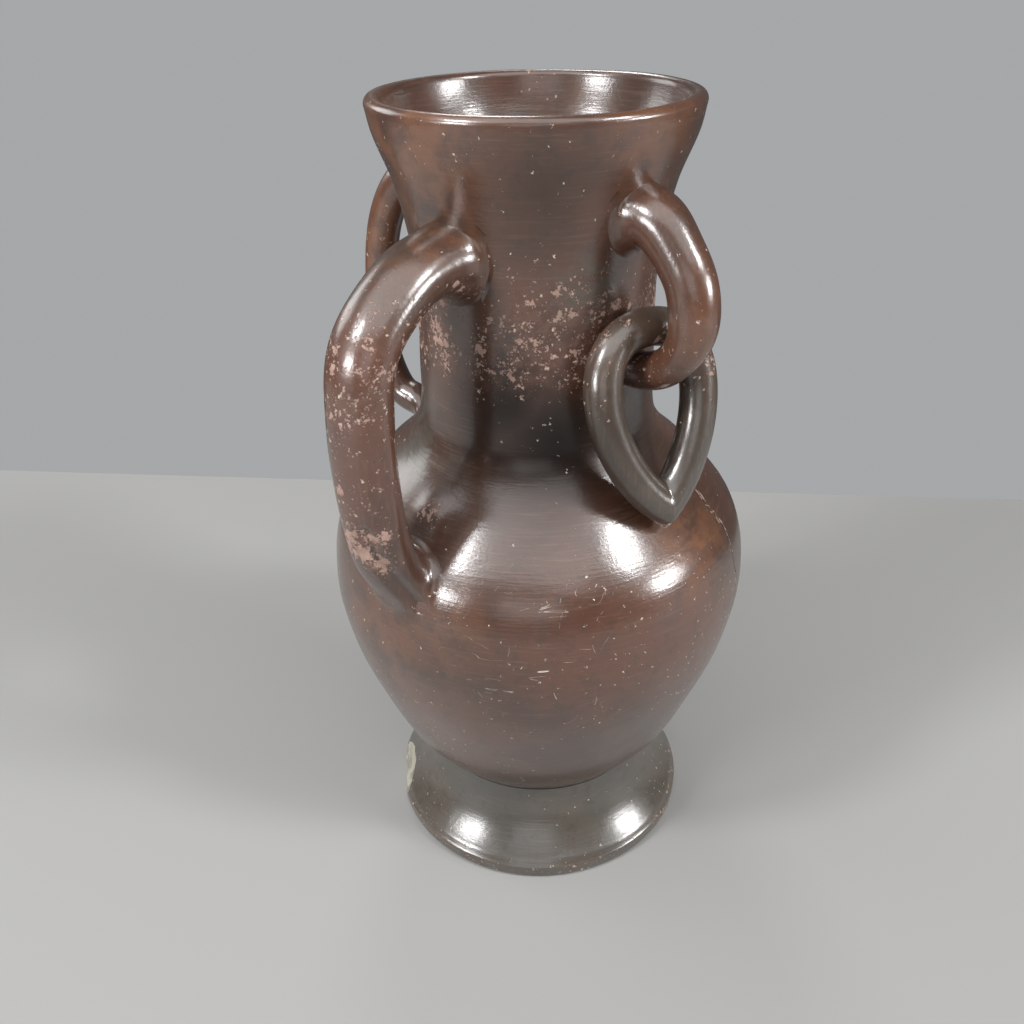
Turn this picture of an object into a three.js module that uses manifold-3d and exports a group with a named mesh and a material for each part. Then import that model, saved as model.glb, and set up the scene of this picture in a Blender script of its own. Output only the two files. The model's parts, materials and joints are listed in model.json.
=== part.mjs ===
// Burnished earthenware jug with a strap handle, two ear loops and a loose teardrop link.
// Units are millimetres. +Z is up, the origin is the middle of the foot on the standing face,
// and the strap handle points along -X.
import * as THREE from 'three';
import { mergeVertices } from 'three/addons/utils/BufferGeometryUtils.js';
import Module from 'manifold-3d';

const wasm = await Module();
wasm.setup();

// Heights of the four thrown sections, from the standing face up
const FOOT_HEIGHT = 36;
const BOWL_HEIGHT = 90;
const SHOULDER_HEIGHT = 60;
const NECK_HEIGHT = 113;

// Radii of the outer wall
const FOOT_RADIUS = 64.2;
const FOOT_BAND_HEIGHT = 6.5;
const FOOT_EDGE_ROUND = 1.6;
const WAIST_RADIUS = 48.6;
const BELLY_RADIUS = 81.8;
const NECK_BASE_RADIUS = 43.7;
const NECK_RADIUS = 42.1;
const RIM_RADIUS = 54.5;

// Thickness of the clay
const WALL_THICKNESS = 6.5;
const LIP_THICKNESS = 5.6;
const FLOOR_THICKNESS = 12;
const FLOOR_ROUND = 16;

// Gap left between pieces that are luted onto the curved wall, and how much of its quarter circle
// a root fillet keeps, so that its rim isn't feathered
const SEAT_CLEARANCE = 0.3;
const FILLET_SHARE = 0.88;

// Strap handle: its upper root below the rim and its lower root above the standing face, how far
// it stands out from the neck, its section, and the fillet smeared round its roots
const HANDLE_AZIMUTH = 180;
const HANDLE_TOP_DEPTH = 45;
const HANDLE_LOW_ROOT_HEIGHT = 154;
const HANDLE_STAND_OUT = 52.6;
const HANDLE_THICKNESS = 19;
const HANDLE_WIDTH = 24;
const HANDLE_ROOT_FILLET = 7;

// Ear loop that carries the link
const LINK_LOOP_AZIMUTH = 263;
const LINK_LOOP_TOP_DEPTH = 32;
const LINK_LOOP_HEIGHT = 49;
const LINK_LOOP_STAND_OUT = 35.1;
const LINK_LOOP_THICKNESS = 16.2;
const LINK_LOOP_BAR_THICKNESS = 13;
const LINK_LOOP_TOP_FILLET = 5.5;
const LINK_LOOP_LOW_FILLET = 3.5;

// Ear loop on the other side of the handle, taller and more slender
const REAR_LOOP_AZIMUTH = 97;
const REAR_LOOP_TOP_DEPTH = 31;
const REAR_LOOP_HEIGHT = 90;
const REAR_LOOP_STAND_OUT = 37.4;
const REAR_LOOP_THICKNESS = 12.8;
const REAR_LOOP_ROOT_FILLET = 5;

// Loose link: a teardrop of round clay rod with a pointed lower end
const LINK_LENGTH = 60.5;
const LINK_HALF_WIDTH = 18.8;
const LINK_ROD_RADIUS = 6.5;
const LINK_TURN = 249;
const LINK_HANG_CLEARANCE = 2;
const LINK_EYE_SHARE = 0.44;
const LINK_REST_CLEARANCE = 0.3;

// Chip broken out of the edge of the foot
const CHIP_AZIMUTH = 147;
const CHIP_LENGTH = 30;
const CHIP_HEIGHT = 19;
const CHIP_DEPTH = 6;
const CHIP_TILT = 20;

// Fineness of the turned and swept surfaces
const TURNED_SIDES = 56;
const BAR_SIDES = 20;
const ROD_SIDES = 14;
const ROOT_CROWDING = 0.66;

const WAIST_Z = FOOT_HEIGHT;
const BELLY_Z = WAIST_Z + BOWL_HEIGHT;
const NECK_BASE_Z = BELLY_Z + SHOULDER_HEIGHT;
const RIM_Z = NECK_BASE_Z + NECK_HEIGHT;

const mix = (a, b, t) => a + (b - a) * t;
const radians = THREE.MathUtils.degToRad;

// Outer wall from the waist to the lip as stations of height and radius. Between the named
// radii the stations hold how full the curve is, as shares of the two radii that they join.
const lipShoulderZ = RIM_Z - LIP_THICKNESS / 2;
const stations = [
  [WAIST_Z, WAIST_RADIUS],
  [WAIST_Z + 0.2 * BOWL_HEIGHT, mix(WAIST_RADIUS, BELLY_RADIUS, 0.39)],
  [WAIST_Z + 0.467 * BOWL_HEIGHT, mix(WAIST_RADIUS, BELLY_RADIUS, 0.69)],
  [WAIST_Z + 0.733 * BOWL_HEIGHT, mix(WAIST_RADIUS, BELLY_RADIUS, 0.912)],
  [BELLY_Z, BELLY_RADIUS],
  [BELLY_Z + 0.4 * SHOULDER_HEIGHT, mix(BELLY_RADIUS, NECK_BASE_RADIUS, 0.131)],
  [BELLY_Z + 0.725 * SHOULDER_HEIGHT, mix(BELLY_RADIUS, NECK_BASE_RADIUS, 0.559)],
  [NECK_BASE_Z, NECK_BASE_RADIUS],
  [NECK_BASE_Z + 0.17 * NECK_HEIGHT, mix(NECK_BASE_RADIUS, NECK_RADIUS, 0.3)],
  [NECK_BASE_Z + 0.36 * NECK_HEIGHT, NECK_RADIUS],
  [NECK_BASE_Z + 0.56 * NECK_HEIGHT, mix(NECK_RADIUS, RIM_RADIUS, 0.05)],
  [NECK_BASE_Z + 0.76 * NECK_HEIGHT, mix(NECK_RADIUS, RIM_RADIUS, 0.4)],
  [NECK_BASE_Z + 0.9 * NECK_HEIGHT, mix(NECK_RADIUS, RIM_RADIUS, 0.86)],
  [lipShoulderZ, RIM_RADIUS],
];

// Slope of the wall at a station, from the stations on either side of it
function stationSlope(i) {
  const [below, above] = [stations[Math.max(i - 1, 0)], stations[Math.min(i + 1, stations.length - 1)]];
  return (above[1] - below[1]) / (above[0] - below[0]);
}

// Radius and slope of the outer wall at a height, on a smooth curve through the stations
function wallAt(z) {
  const last = stations.length - 2;
  let i = 0;
  while (i < last && z > stations[i + 1][0]) i += 1;
  const [z0, r0] = stations[i];
  const [z1, r1] = stations[i + 1];
  const span = z1 - z0;
  const t = THREE.MathUtils.clamp((z - z0) / span, 0, 1);
  const m0 = stationSlope(i) * span;
  const m1 = stationSlope(i + 1) * span;
  const radius = (2 * t ** 3 - 3 * t ** 2 + 1) * r0 + (t ** 3 - 2 * t ** 2 + t) * m0
    + (3 * t ** 2 - 2 * t ** 3) * r1 + (t ** 3 - t ** 2) * m1;
  const slope = ((6 * t ** 2 - 6 * t) * (r0 - r1) + (3 * t ** 2 - 4 * t + 1) * m0
    + (3 * t ** 2 - 2 * t) * m1) / span;
  return { radius, slope };
}

// Radius of the inner wall: the clay is measured square to the wall and thins towards the lip
function innerRadius(z) {
  const { radius, slope } = wallAt(z);
  const rise = THREE.MathUtils.clamp((z - NECK_BASE_Z) / NECK_HEIGHT, 0, 1);
  return radius - mix(WALL_THICKNESS, LIP_THICKNESS, rise) * Math.hypot(1, slope);
}

// Solid of revolution from [radius, height] points that run up the outside and down the inside
function turned(points) {
  const outline = points.map(([r, z]) => new THREE.Vector2(r, z));
  return new THREE.LatheGeometry(outline, TURNED_SIDES).rotateX(Math.PI / 2);
}

// Heights at which each thrown section has a ring of points
const heightsOf = (lowZ, highZ, steps) => (
  Array.from({ length: steps + 1 }, (_, i) => mix(lowZ, highZ, i / steps))
);
const bowlHeights = heightsOf(WAIST_Z, BELLY_Z, 9);
const shoulderHeights = heightsOf(BELLY_Z, NECK_BASE_Z, 8);
const neckHeights = heightsOf(NECK_BASE_Z, lipShoulderZ, 12);

// Outline of the wall between two joints: up the outside and down the inside
function wallSection(heights) {
  const outside = heights.map((z) => [wallAt(z).radius, z]);
  const inside = heights.map((z) => [innerRadius(z), z]).reverse();
  return [...outside, ...inside];
}

// Points on an arc in the [radius, height] plane, from one angle to another in degrees
function arc(centreR, centreZ, radius, from, to, steps) {
  return Array.from({ length: steps + 1 }, (_, i) => {
    const angle = radians(mix(from, to, i / steps));
    return [centreR + radius * Math.cos(angle), centreZ + radius * Math.sin(angle)];
  });
}

function solid(geometry) {
  const bare = geometry.clone();
  bare.deleteAttribute('normal');
  bare.deleteAttribute('uv');
  const welded = mergeVertices(bare, 1e-4);
  return new wasm.Manifold(new wasm.Mesh({
    numProp: 3,
    vertProperties: new Float32Array(welded.attributes.position.array),
    triVerts: new Uint32Array(welded.index.array),
  }));
}

function geometryOf(manifold) {
  const mesh = manifold.getMesh();
  const geometry = new THREE.BufferGeometry();
  geometry.setAttribute('position', new THREE.BufferAttribute(mesh.vertProperties, 3));
  geometry.setIndex(new THREE.BufferAttribute(mesh.triVerts, 1));
  geometry.computeVertexNormals();
  return geometry;
}

// Closed skin over a stack of rings with the same number of points. The ends are fanned over,
// or the last ring is joined to the first when the bar closes on itself.
function skin(rings, closed) {
  const sides = rings[0].length;
  const positions = rings.flat().flatMap((p) => [p.x, p.y, p.z]);
  const index = [];
  const spans = closed ? rings.length : rings.length - 1;
  for (let i = 0; i < spans; i += 1) {
    const a = i * sides;
    const b = ((i + 1) % rings.length) * sides;
    for (let j = 0; j < sides; j += 1) {
      const k = (j + 1) % sides;
      index.push(a + j, a + k, b + k, a + j, b + k, b + j);
    }
  }
  if (!closed) {
    const end = (rings.length - 1) * sides;
    for (let j = 1; j < sides - 1; j += 1) {
      index.push(0, j + 1, j);
      index.push(end, end + j, end + j + 1);
    }
  }
  const geometry = new THREE.BufferGeometry();
  geometry.setAttribute('position', new THREE.Float32BufferAttribute(positions, 3));
  geometry.setIndex(index);
  geometry.computeVertexNormals();
  return geometry;
}

// Distance of a point from the outer wall, square to it, and less than 0 inside
function distanceToWall(point) {
  const { radius, slope } = wallAt(point.z);
  return (Math.hypot(point.x, point.y) - radius) / Math.hypot(1, slope);
}

// How far a point on the skin of a bar stands further out where the bar is smeared into the wall.
// The fillet is most of a quarter circle of the given radius.
function filletAt(point, direction, radius) {
  let [least, most] = [0, radius];
  const moved = new THREE.Vector3();
  for (let i = 0; i < 16; i += 1) {
    const middle = (least + most) / 2;
    const near = 1 - distanceToWall(moved.copy(point).addScaledVector(direction, middle)) / radius;
    const wanted = radius * (1 - Math.sqrt(1 - THREE.MathUtils.clamp(near, 0, FILLET_SHARE) ** 2));
    if (wanted > middle) least = middle; else most = middle;
  }
  return least;
}

// A bar of clay bent in the upright plane at an azimuth, along a smooth line of
// [distance from the axis, height] points. size(t) gives its half thickness in that plane, its
// half width across it, and the fillet of the nearer root. Its rings crowd towards the roots.
function bentBar(azimuth, line, steps, size) {
  const curve = new THREE.SplineCurve(line.map(([s, z]) => new THREE.Vector2(s, z)));
  const out = new THREE.Vector3(Math.cos(radians(azimuth)), Math.sin(radians(azimuth)), 0);
  const across = new THREE.Vector3(-out.y, out.x, 0);
  const up = new THREE.Vector3(0, 0, 1);
  const rings = [];
  for (let i = 0; i <= steps; i += 1) {
    const t = i / steps - (ROOT_CROWDING * Math.sin((2 * Math.PI * i) / steps)) / (2 * Math.PI);
    const at = curve.getPointAt(t);
    const along = curve.getTangentAt(t);
    const { thick, wide, fillet } = size(t);
    const centre = out.clone().multiplyScalar(at.x).addScaledVector(up, at.y);
    const normal = out.clone().multiplyScalar(-along.y).addScaledVector(up, along.x);
    rings.push(Array.from({ length: BAR_SIDES }, (_, j) => {
      const angle = (2 * Math.PI * j) / BAR_SIDES;
      const spoke = normal.clone().multiplyScalar(thick * Math.cos(angle))
        .addScaledVector(across, -wide * Math.sin(angle));
      const point = centre.clone().add(spoke);
      const direction = spoke.normalize();
      return point.addScaledVector(direction, filletAt(point, direction, fillet));
    }));
  }
  return skin(rings, false);
}

// The outside of the jug as one solid, grown by the seat clearance, which trims the roots.
// It has its rings at the same heights as the wall, so that its facets lie along the wall's.
function wallCutter() {
  const heights = [...bowlHeights, ...shoulderHeights.slice(1), ...neckHeights.slice(1)];
  const outside = heights.map((z) => {
    const { radius, slope } = wallAt(z);
    return [radius + SEAT_CLEARANCE * Math.hypot(1, slope), z];
  });
  return solid(turned([[0, WAIST_Z], ...outside, [0, lipShoulderZ]]));
}

function seatedOnWall(bar) {
  return geometryOf(solid(bar).subtract(wallCutter()));
}

// Foot: a splayed disc with the floor of the jug thrown into its top
function footGeometry() {
  const flareSteps = 7;
  const flare = Array.from({ length: flareSteps }, (_, i) => {
    const t = (i + 1) / flareSteps;
    return [
      mix(FOOT_RADIUS, WAIST_RADIUS, 1 - (1 - t) ** 2.1),
      mix(FOOT_BAND_HEIGHT, WAIST_Z, t),
    ];
  });
  const inner = innerRadius(WAIST_Z);
  const round = Math.min(FLOOR_ROUND, WAIST_Z - FLOOR_THICKNESS);
  const outline = [
    [0, 0],
    ...arc(FOOT_RADIUS - FOOT_EDGE_ROUND, FOOT_EDGE_ROUND, FOOT_EDGE_ROUND, -90, 0, 3),
    ...arc(FOOT_RADIUS - FOOT_EDGE_ROUND, FOOT_BAND_HEIGHT - FOOT_EDGE_ROUND, FOOT_EDGE_ROUND, 0, 60, 2),
    ...flare,
    [inner, WAIST_Z],
    ...arc(inner - round, FLOOR_THICKNESS + round, round, 0, -90, 5),
    [0, FLOOR_THICKNESS],
  ];
  const chip = new THREE.IcosahedronGeometry(1, 2).scale(2 * CHIP_DEPTH, CHIP_LENGTH / 2, CHIP_HEIGHT / 2);
  chip.rotateY(radians(CHIP_TILT));
  chip.translate(FOOT_RADIUS + CHIP_DEPTH, 0, FOOT_BAND_HEIGHT);
  chip.rotateZ(radians(CHIP_AZIMUTH));
  return geometryOf(solid(turned(outline)).subtract(solid(chip)));
}

function closedSection(heights) {
  const outline = wallSection(heights);
  return turned([...outline, outline[0]]);
}

// Neck: rises from the shoulder, flares to the mouth and ends in a rolled lip
function neckGeometry() {
  const outline = wallSection(neckHeights);
  const half = outline.length / 2;
  const lipHalf = LIP_THICKNESS / 2;
  const lip = arc(RIM_RADIUS - lipHalf, lipShoulderZ, lipHalf, 0, 180, 6).slice(1, -1);
  const rim = [RIM_RADIUS - LIP_THICKNESS, lipShoulderZ];
  const points = [...outline.slice(0, half), ...lip, rim, ...outline.slice(half + 1)];
  return turned([...points, points[0]]);
}

// Strap handle from the neck to the shoulder
function handleGeometry() {
  const topZ = RIM_Z - HANDLE_TOP_DEPTH;
  const lowZ = HANDLE_LOW_ROOT_HEIGHT;
  const topWall = wallAt(topZ).radius;
  const lowWall = wallAt(lowZ).radius;
  const reach = NECK_RADIUS + HANDLE_STAND_OUT - HANDLE_THICKNESS / 2;
  const drop = topZ - lowZ;
  const line = [
    [topWall - WALL_THICKNESS, topZ],
    [mix(topWall, reach, 0.07), topZ + 0.01 * drop],
    [mix(topWall, reach, 0.5), topZ - 0.03 * drop],
    [mix(topWall, reach, 0.9), topZ - 0.18 * drop],
    [reach, topZ - 0.42 * drop],
    [mix(topWall, reach, 0.99), topZ - 0.68 * drop],
    [mix(lowWall, reach, 0.6), topZ - 0.9 * drop],
    [lowWall - WALL_THICKNESS, topZ - 1.08 * drop],
  ];
  const bar = bentBar(HANDLE_AZIMUTH, line, 32, (t) => {
    const swell = 1 + 0.12 * Math.exp(-((t / 0.2) ** 2));
    return {
      thick: (HANDLE_THICKNESS / 2) * swell,
      wide: (HANDLE_WIDTH / 2) * swell,
      fillet: HANDLE_ROOT_FILLET,
    };
  });
  return seatedOnWall(bar);
}

// Line of the ear loop that carries the link, which curls back to the neck below its root
function linkLoopLine() {
  const topZ = RIM_Z - LINK_LOOP_TOP_DEPTH;
  const lowZ = topZ - LINK_LOOP_HEIGHT;
  const topWall = wallAt(topZ).radius;
  const lowWall = wallAt(lowZ).radius;
  const reach = NECK_RADIUS + LINK_LOOP_STAND_OUT - LINK_LOOP_THICKNESS / 2;
  return [
    [topWall - WALL_THICKNESS, topZ],
    [mix(topWall, reach, 0.08), topZ],
    [mix(topWall, reach, 0.55), topZ - 0.11 * LINK_LOOP_HEIGHT],
    [mix(topWall, reach, 0.92), topZ - 0.35 * LINK_LOOP_HEIGHT],
    [mix(topWall, reach, 0.98), topZ - 0.65 * LINK_LOOP_HEIGHT],
    [mix(lowWall, reach, 0.72), topZ - 0.89 * LINK_LOOP_HEIGHT],
    [mix(lowWall, reach, 0.36), topZ - 0.99 * LINK_LOOP_HEIGHT],
    [lowWall - WALL_THICKNESS, lowZ],
  ];
}

function linkLoopGeometry() {
  const bar = bentBar(LINK_LOOP_AZIMUTH, linkLoopLine(), 28, (t) => {
    const swell = 1 + 0.12 * Math.exp(-((t / 0.2) ** 2));
    const taper = THREE.MathUtils.smoothstep(t, 0.5, 0.78);
    const half = (mix(LINK_LOOP_THICKNESS, LINK_LOOP_BAR_THICKNESS, taper) / 2) * swell;
    return { thick: half, wide: half, fillet: t < 0.5 ? LINK_LOOP_TOP_FILLET : LINK_LOOP_LOW_FILLET };
  });
  return seatedOnWall(bar);
}

// Rear ear loop: a tall slender C from the neck to the top of the shoulder
function rearLoopGeometry() {
  const topZ = RIM_Z - REAR_LOOP_TOP_DEPTH;
  const lowZ = topZ - REAR_LOOP_HEIGHT;
  const topWall = wallAt(topZ).radius;
  const lowWall = wallAt(lowZ).radius;
  const reach = NECK_RADIUS + REAR_LOOP_STAND_OUT - REAR_LOOP_THICKNESS / 2;
  const line = [
    [topWall - WALL_THICKNESS, topZ],
    [mix(topWall, reach, 0.14), topZ],
    [mix(topWall, reach, 0.56), topZ - 0.09 * REAR_LOOP_HEIGHT],
    [mix(topWall, reach, 0.82), topZ - 0.26 * REAR_LOOP_HEIGHT],
    [mix(topWall, reach, 0.95), topZ - 0.52 * REAR_LOOP_HEIGHT],
    [reach, topZ - 0.78 * REAR_LOOP_HEIGHT],
    [mix(lowWall, reach, 0.74), topZ - 0.965 * REAR_LOOP_HEIGHT],
    [mix(lowWall, reach, 0.3), topZ - 1.01 * REAR_LOOP_HEIGHT],
    [lowWall - WALL_THICKNESS, topZ - 1.02 * REAR_LOOP_HEIGHT],
  ];
  const bar = bentBar(REAR_LOOP_AZIMUTH, line, 28, (t) => {
    const half = (REAR_LOOP_THICKNESS / 2) * (1 + 0.12 * Math.exp(-((t / 0.15) ** 2)));
    return { thick: half, wide: half, fillet: REAR_LOOP_ROOT_FILLET };
  });
  return seatedOnWall(bar);
}

// Link: round rod bent to a teardrop, its two limbs mitred where they meet at the point.
// It is drawn in its own plane with the middle of its top at the origin.
function linkGeometry() {
  const limb = new THREE.CubicBezierCurve(
    new THREE.Vector2(0, 0),
    new THREE.Vector2(1.5 * LINK_HALF_WIDTH, 0),
    new THREE.Vector2(1.16 * LINK_HALF_WIDTH, -0.7 * LINK_LENGTH),
    new THREE.Vector2(0, -LINK_LENGTH),
  );
  const tip = limb.getTangentAt(1);
  const mitreShare = (LINK_ROD_RADIUS * Math.abs(tip.y / tip.x)) / limb.getLength();
  const bentShare = 1 - 1.1 * mitreShare;
  const steps = 15;
  const sectionAt = (share) => {
    const at = limb.getPointAt(share);
    const along = limb.getTangentAt(share);
    const out = share === 1 ? new THREE.Vector2(0, 1 / along.x) : new THREE.Vector2(-along.y, along.x);
    return Array.from({ length: ROD_SIDES }, (_, j) => {
      const angle = (2 * Math.PI * j) / ROD_SIDES;
      const reach = LINK_ROD_RADIUS * Math.cos(angle);
      const y = -LINK_ROD_RADIUS * Math.sin(angle);
      return new THREE.Vector3(at.x + out.x * reach, y, at.y + out.y * reach);
    });
  };
  const near = Array.from({ length: steps + 1 }, (_, i) => sectionAt((bentShare * i) / steps));
  const mirrored = (ring) => ring.map((point) => new THREE.Vector3(-point.x, point.y, point.z));
  const far = near.slice(1).reverse().map(mirrored);
  return skin([...near, sectionAt(1), ...far], true);
}

function part(name, geometry, color, roughness) {
  const material = new THREE.MeshStandardMaterial({ color, roughness, metalness: 0 });
  const mesh = new THREE.Mesh(geometry, material);
  mesh.name = name;
  return mesh;
}

const jug = new THREE.Group();
jug.add(part('foot', footGeometry(), 0x4a4238, 0.35));
jug.add(part('lower_bowl', closedSection(bowlHeights), 0x4e3529, 0.38));
jug.add(part('shoulder', closedSection(shoulderHeights), 0x4c3a31, 0.36));
jug.add(part('neck', neckGeometry(), 0x523529, 0.4));
jug.add(part('strap_handle', handleGeometry(), 0x5c4438, 0.4));
jug.add(part('link_loop', linkLoopGeometry(), 0x63402c, 0.36));
jug.add(part('rear_loop', rearLoopGeometry(), 0x5d3b2a, 0.38));

// The link hangs in the eye of its loop: above the lower bar, and about half way between the
// neck and the outer limb. Its plane is turned a little from the loop's.
const barZ = RIM_Z - LINK_LOOP_TOP_DEPTH - LINK_LOOP_HEIGHT;
const hangZ = barZ + LINK_LOOP_BAR_THICKNESS / 2 + LINK_HANG_CLEARANCE + LINK_ROD_RADIUS;
const loopInside = NECK_RADIUS + LINK_LOOP_STAND_OUT - LINK_LOOP_THICKNESS;
const hangReach = mix(wallAt(hangZ).radius, loopInside, LINK_EYE_SHARE);
const hang = new THREE.Group();
hang.rotation.z = radians(LINK_TURN + 90);
hang.position.set(
  hangReach * Math.cos(radians(LINK_LOOP_AZIMUTH)),
  hangReach * Math.sin(radians(LINK_LOOP_AZIMUTH)),
  hangZ,
);

// Least gap between the link and the wall when the link leans out by an angle in degrees
function gapWhenLeaning(geometry, lean) {
  hang.updateMatrix();
  const placed = hang.matrix.clone().multiply(new THREE.Matrix4().makeRotationX(-radians(lean)));
  const point = new THREE.Vector3();
  const corners = geometry.attributes.position;
  let least = Infinity;
  for (let i = 0; i < corners.count; i += 1) {
    point.fromBufferAttribute(corners, i).applyMatrix4(placed);
    least = Math.min(least, distanceToWall(point));
  }
  return least;
}

// The link swings in until its point lies on the shoulder
const link = part('teardrop_link', linkGeometry(), 0x5a4a40, 0.36);
const leanStep = 0.1;
let lean = 0;
while (gapWhenLeaning(link.geometry, lean) < LINK_REST_CLEARANCE && lean < 90) lean += leanStep;
link.rotation.x = -radians(lean);
hang.add(link);
jug.add(hang);

export default jug;
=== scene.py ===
import json
import math

import bpy
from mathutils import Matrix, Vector, geometry


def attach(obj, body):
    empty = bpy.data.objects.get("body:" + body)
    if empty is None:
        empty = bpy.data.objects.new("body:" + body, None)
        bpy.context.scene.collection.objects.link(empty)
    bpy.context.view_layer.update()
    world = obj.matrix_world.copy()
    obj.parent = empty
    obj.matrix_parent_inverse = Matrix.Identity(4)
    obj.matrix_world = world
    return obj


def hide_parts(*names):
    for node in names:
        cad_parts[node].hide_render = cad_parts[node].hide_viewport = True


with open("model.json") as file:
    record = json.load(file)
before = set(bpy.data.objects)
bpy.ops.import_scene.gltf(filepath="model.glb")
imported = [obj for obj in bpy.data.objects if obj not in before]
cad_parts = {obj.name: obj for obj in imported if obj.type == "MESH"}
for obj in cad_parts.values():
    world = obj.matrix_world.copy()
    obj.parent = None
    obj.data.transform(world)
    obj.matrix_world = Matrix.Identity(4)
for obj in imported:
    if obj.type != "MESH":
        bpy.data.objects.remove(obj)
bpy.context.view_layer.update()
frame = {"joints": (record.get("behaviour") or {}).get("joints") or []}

# The thrown wall: bowl, shoulder and neck of one earthenware shell, luted at the belly and at the
# foot of the neck. The joins are smoothed over and the whole wall is slipped and burnished, so it
# reads as one surface. Stations are (height, radius) of the outside.
WAIST_HEIGHT = 0.036
NECK_BASE_HEIGHT = 0.186
RIM_HEIGHT = 0.299
RIM_RADIUS = 0.0545
WALL_THICKNESS = 0.0065
LIP_THICKNESS = 0.0056
WALL_STATIONS = [
    (0.0360, 0.04860), (0.0540, 0.06155), (0.0780, 0.07151), (0.1020, 0.07888), (0.1260, 0.08180),
    (0.1500, 0.07681), (0.1695, 0.06050), (0.1780, 0.05130), (0.1870, 0.04500), (0.1960, 0.04320),
    (0.2080, 0.04280), (0.2267, 0.04210), (0.2493, 0.04272), (0.2719, 0.04706), (0.2877, 0.05276),
    (0.2962, 0.05450),
]


def mix(a, b, share):
    return a + (b - a) * share


def station_slope(i):
    below = WALL_STATIONS[max(i - 1, 0)]
    above = WALL_STATIONS[min(i + 1, len(WALL_STATIONS) - 1)]
    return (above[1] - below[1]) / (above[0] - below[0])


def wall_at(height):
    """Radius and slope of the outside at a height, on a smooth curve through the stations."""
    i = 0
    while i < len(WALL_STATIONS) - 2 and height > WALL_STATIONS[i + 1][0]:
        i += 1
    (z0, r0), (z1, r1) = WALL_STATIONS[i], WALL_STATIONS[i + 1]
    span = z1 - z0
    t = min(max((height - z0) / span, 0), 1)
    m0, m1 = station_slope(i) * span, station_slope(i + 1) * span
    radius = ((2 * t**3 - 3 * t**2 + 1) * r0 + (t**3 - 2 * t**2 + t) * m0
              + (3 * t**2 - 2 * t**3) * r1 + (t**3 - t**2) * m1)
    rise = (6 * t**2 - 6 * t) * (r0 - r1) + (3 * t**2 - 4 * t + 1) * m0 + (3 * t**2 - 2 * t) * m1
    return radius, rise / span


def inside_at(height):
    radius, slope = wall_at(height)
    rise = min(max((height - NECK_BASE_HEIGHT) / (RIM_HEIGHT - NECK_BASE_HEIGHT), 0), 1)
    return radius - mix(WALL_THICKNESS, LIP_THICKNESS, rise) * math.hypot(1, slope)


def arc(centre_radius, centre_height, radius, start, end, steps):
    angles = [math.radians(mix(start, end, i / steps)) for i in range(steps + 1)]
    return [(centre_radius + radius * math.cos(a), centre_height + radius * math.sin(a)) for a in angles]


def throw_on_wheel(name, outline, fill, sides=192):
    """Pulls a ring of clay through the (radius, height) points of an outline and closes it."""
    bpy.ops.object.select_all(action="DESELECT")
    radius, height = outline[0]
    bpy.ops.mesh.primitive_circle_add(vertices=sides, radius=radius, fill_type=fill,
                                      location=(0, 0, height))
    piece = bpy.context.object
    piece.name = piece.data.name = name
    bpy.ops.object.mode_set(mode="EDIT")
    bpy.ops.mesh.select_all(action="SELECT")
    if fill != "NOTHING":
        bpy.ops.mesh.select_mode(type="EDGE")
        bpy.ops.mesh.region_to_loop()
    for next_radius, next_height in outline[1:]:
        bpy.ops.mesh.extrude_edges_move(TRANSFORM_OT_translate={"value": (0, 0, next_height - height)})
        share = next_radius / radius
        bpy.ops.transform.resize(value=(share, share, 1), center_override=(0, 0, next_height))
        radius, height = next_radius, next_height
    bpy.ops.mesh.select_mode(type="VERT")
    bpy.ops.mesh.select_all(action="SELECT")
    bpy.ops.mesh.remove_doubles(threshold=1e-5)
    bpy.ops.mesh.normals_make_consistent(inside=False)
    bpy.ops.object.mode_set(mode="OBJECT")
    bpy.ops.object.transform_apply(location=True, rotation=True, scale=True)
    return piece


def press_by_hand(piece, depth, spread):
    """Gives a surface the slight hollows that hands and the burnishing stone leave."""
    hollows = bpy.data.textures.new(piece.name + "_hollows", "CLOUDS")
    hollows.noise_scale = spread
    hollows.noise_depth = 1
    press = piece.modifiers.new("hollows", "DISPLACE")
    press.texture, press.texture_coords = hollows, "LOCAL"
    press.strength, press.mid_level = depth, 1.0
    bpy.context.view_layer.objects.active = piece
    bpy.ops.object.modifier_apply(modifier=press.name)


def press_along(piece, path, reach, height):
    """Raises the clay by a height along a line on a piece, falling off to nothing at a reach."""
    pressed = piece.vertex_groups.new(name="pressed")
    for corner in piece.data.vertices:
        gaps = []
        for start, end in zip(path, path[1:]):
            foot, share = geometry.intersect_point_line(corner.co, start, end)
            foot = Vector(start) if share < 0 else Vector(end) if share > 1 else foot
            gaps.append((corner.co - foot).length)
        away = min(gaps) / reach
        if away < 1:
            pressed.add([corner.index], (1 - away * away) ** 2, "REPLACE")
    press = piece.modifiers.new("pressed", "DISPLACE")
    press.vertex_group, press.strength, press.mid_level = pressed.name, height, 0.0
    bpy.context.view_layer.objects.active = piece
    bpy.ops.object.modifier_apply(modifier=press.name)
    piece.vertex_groups.remove(piece.vertex_groups["pressed"])


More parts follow.
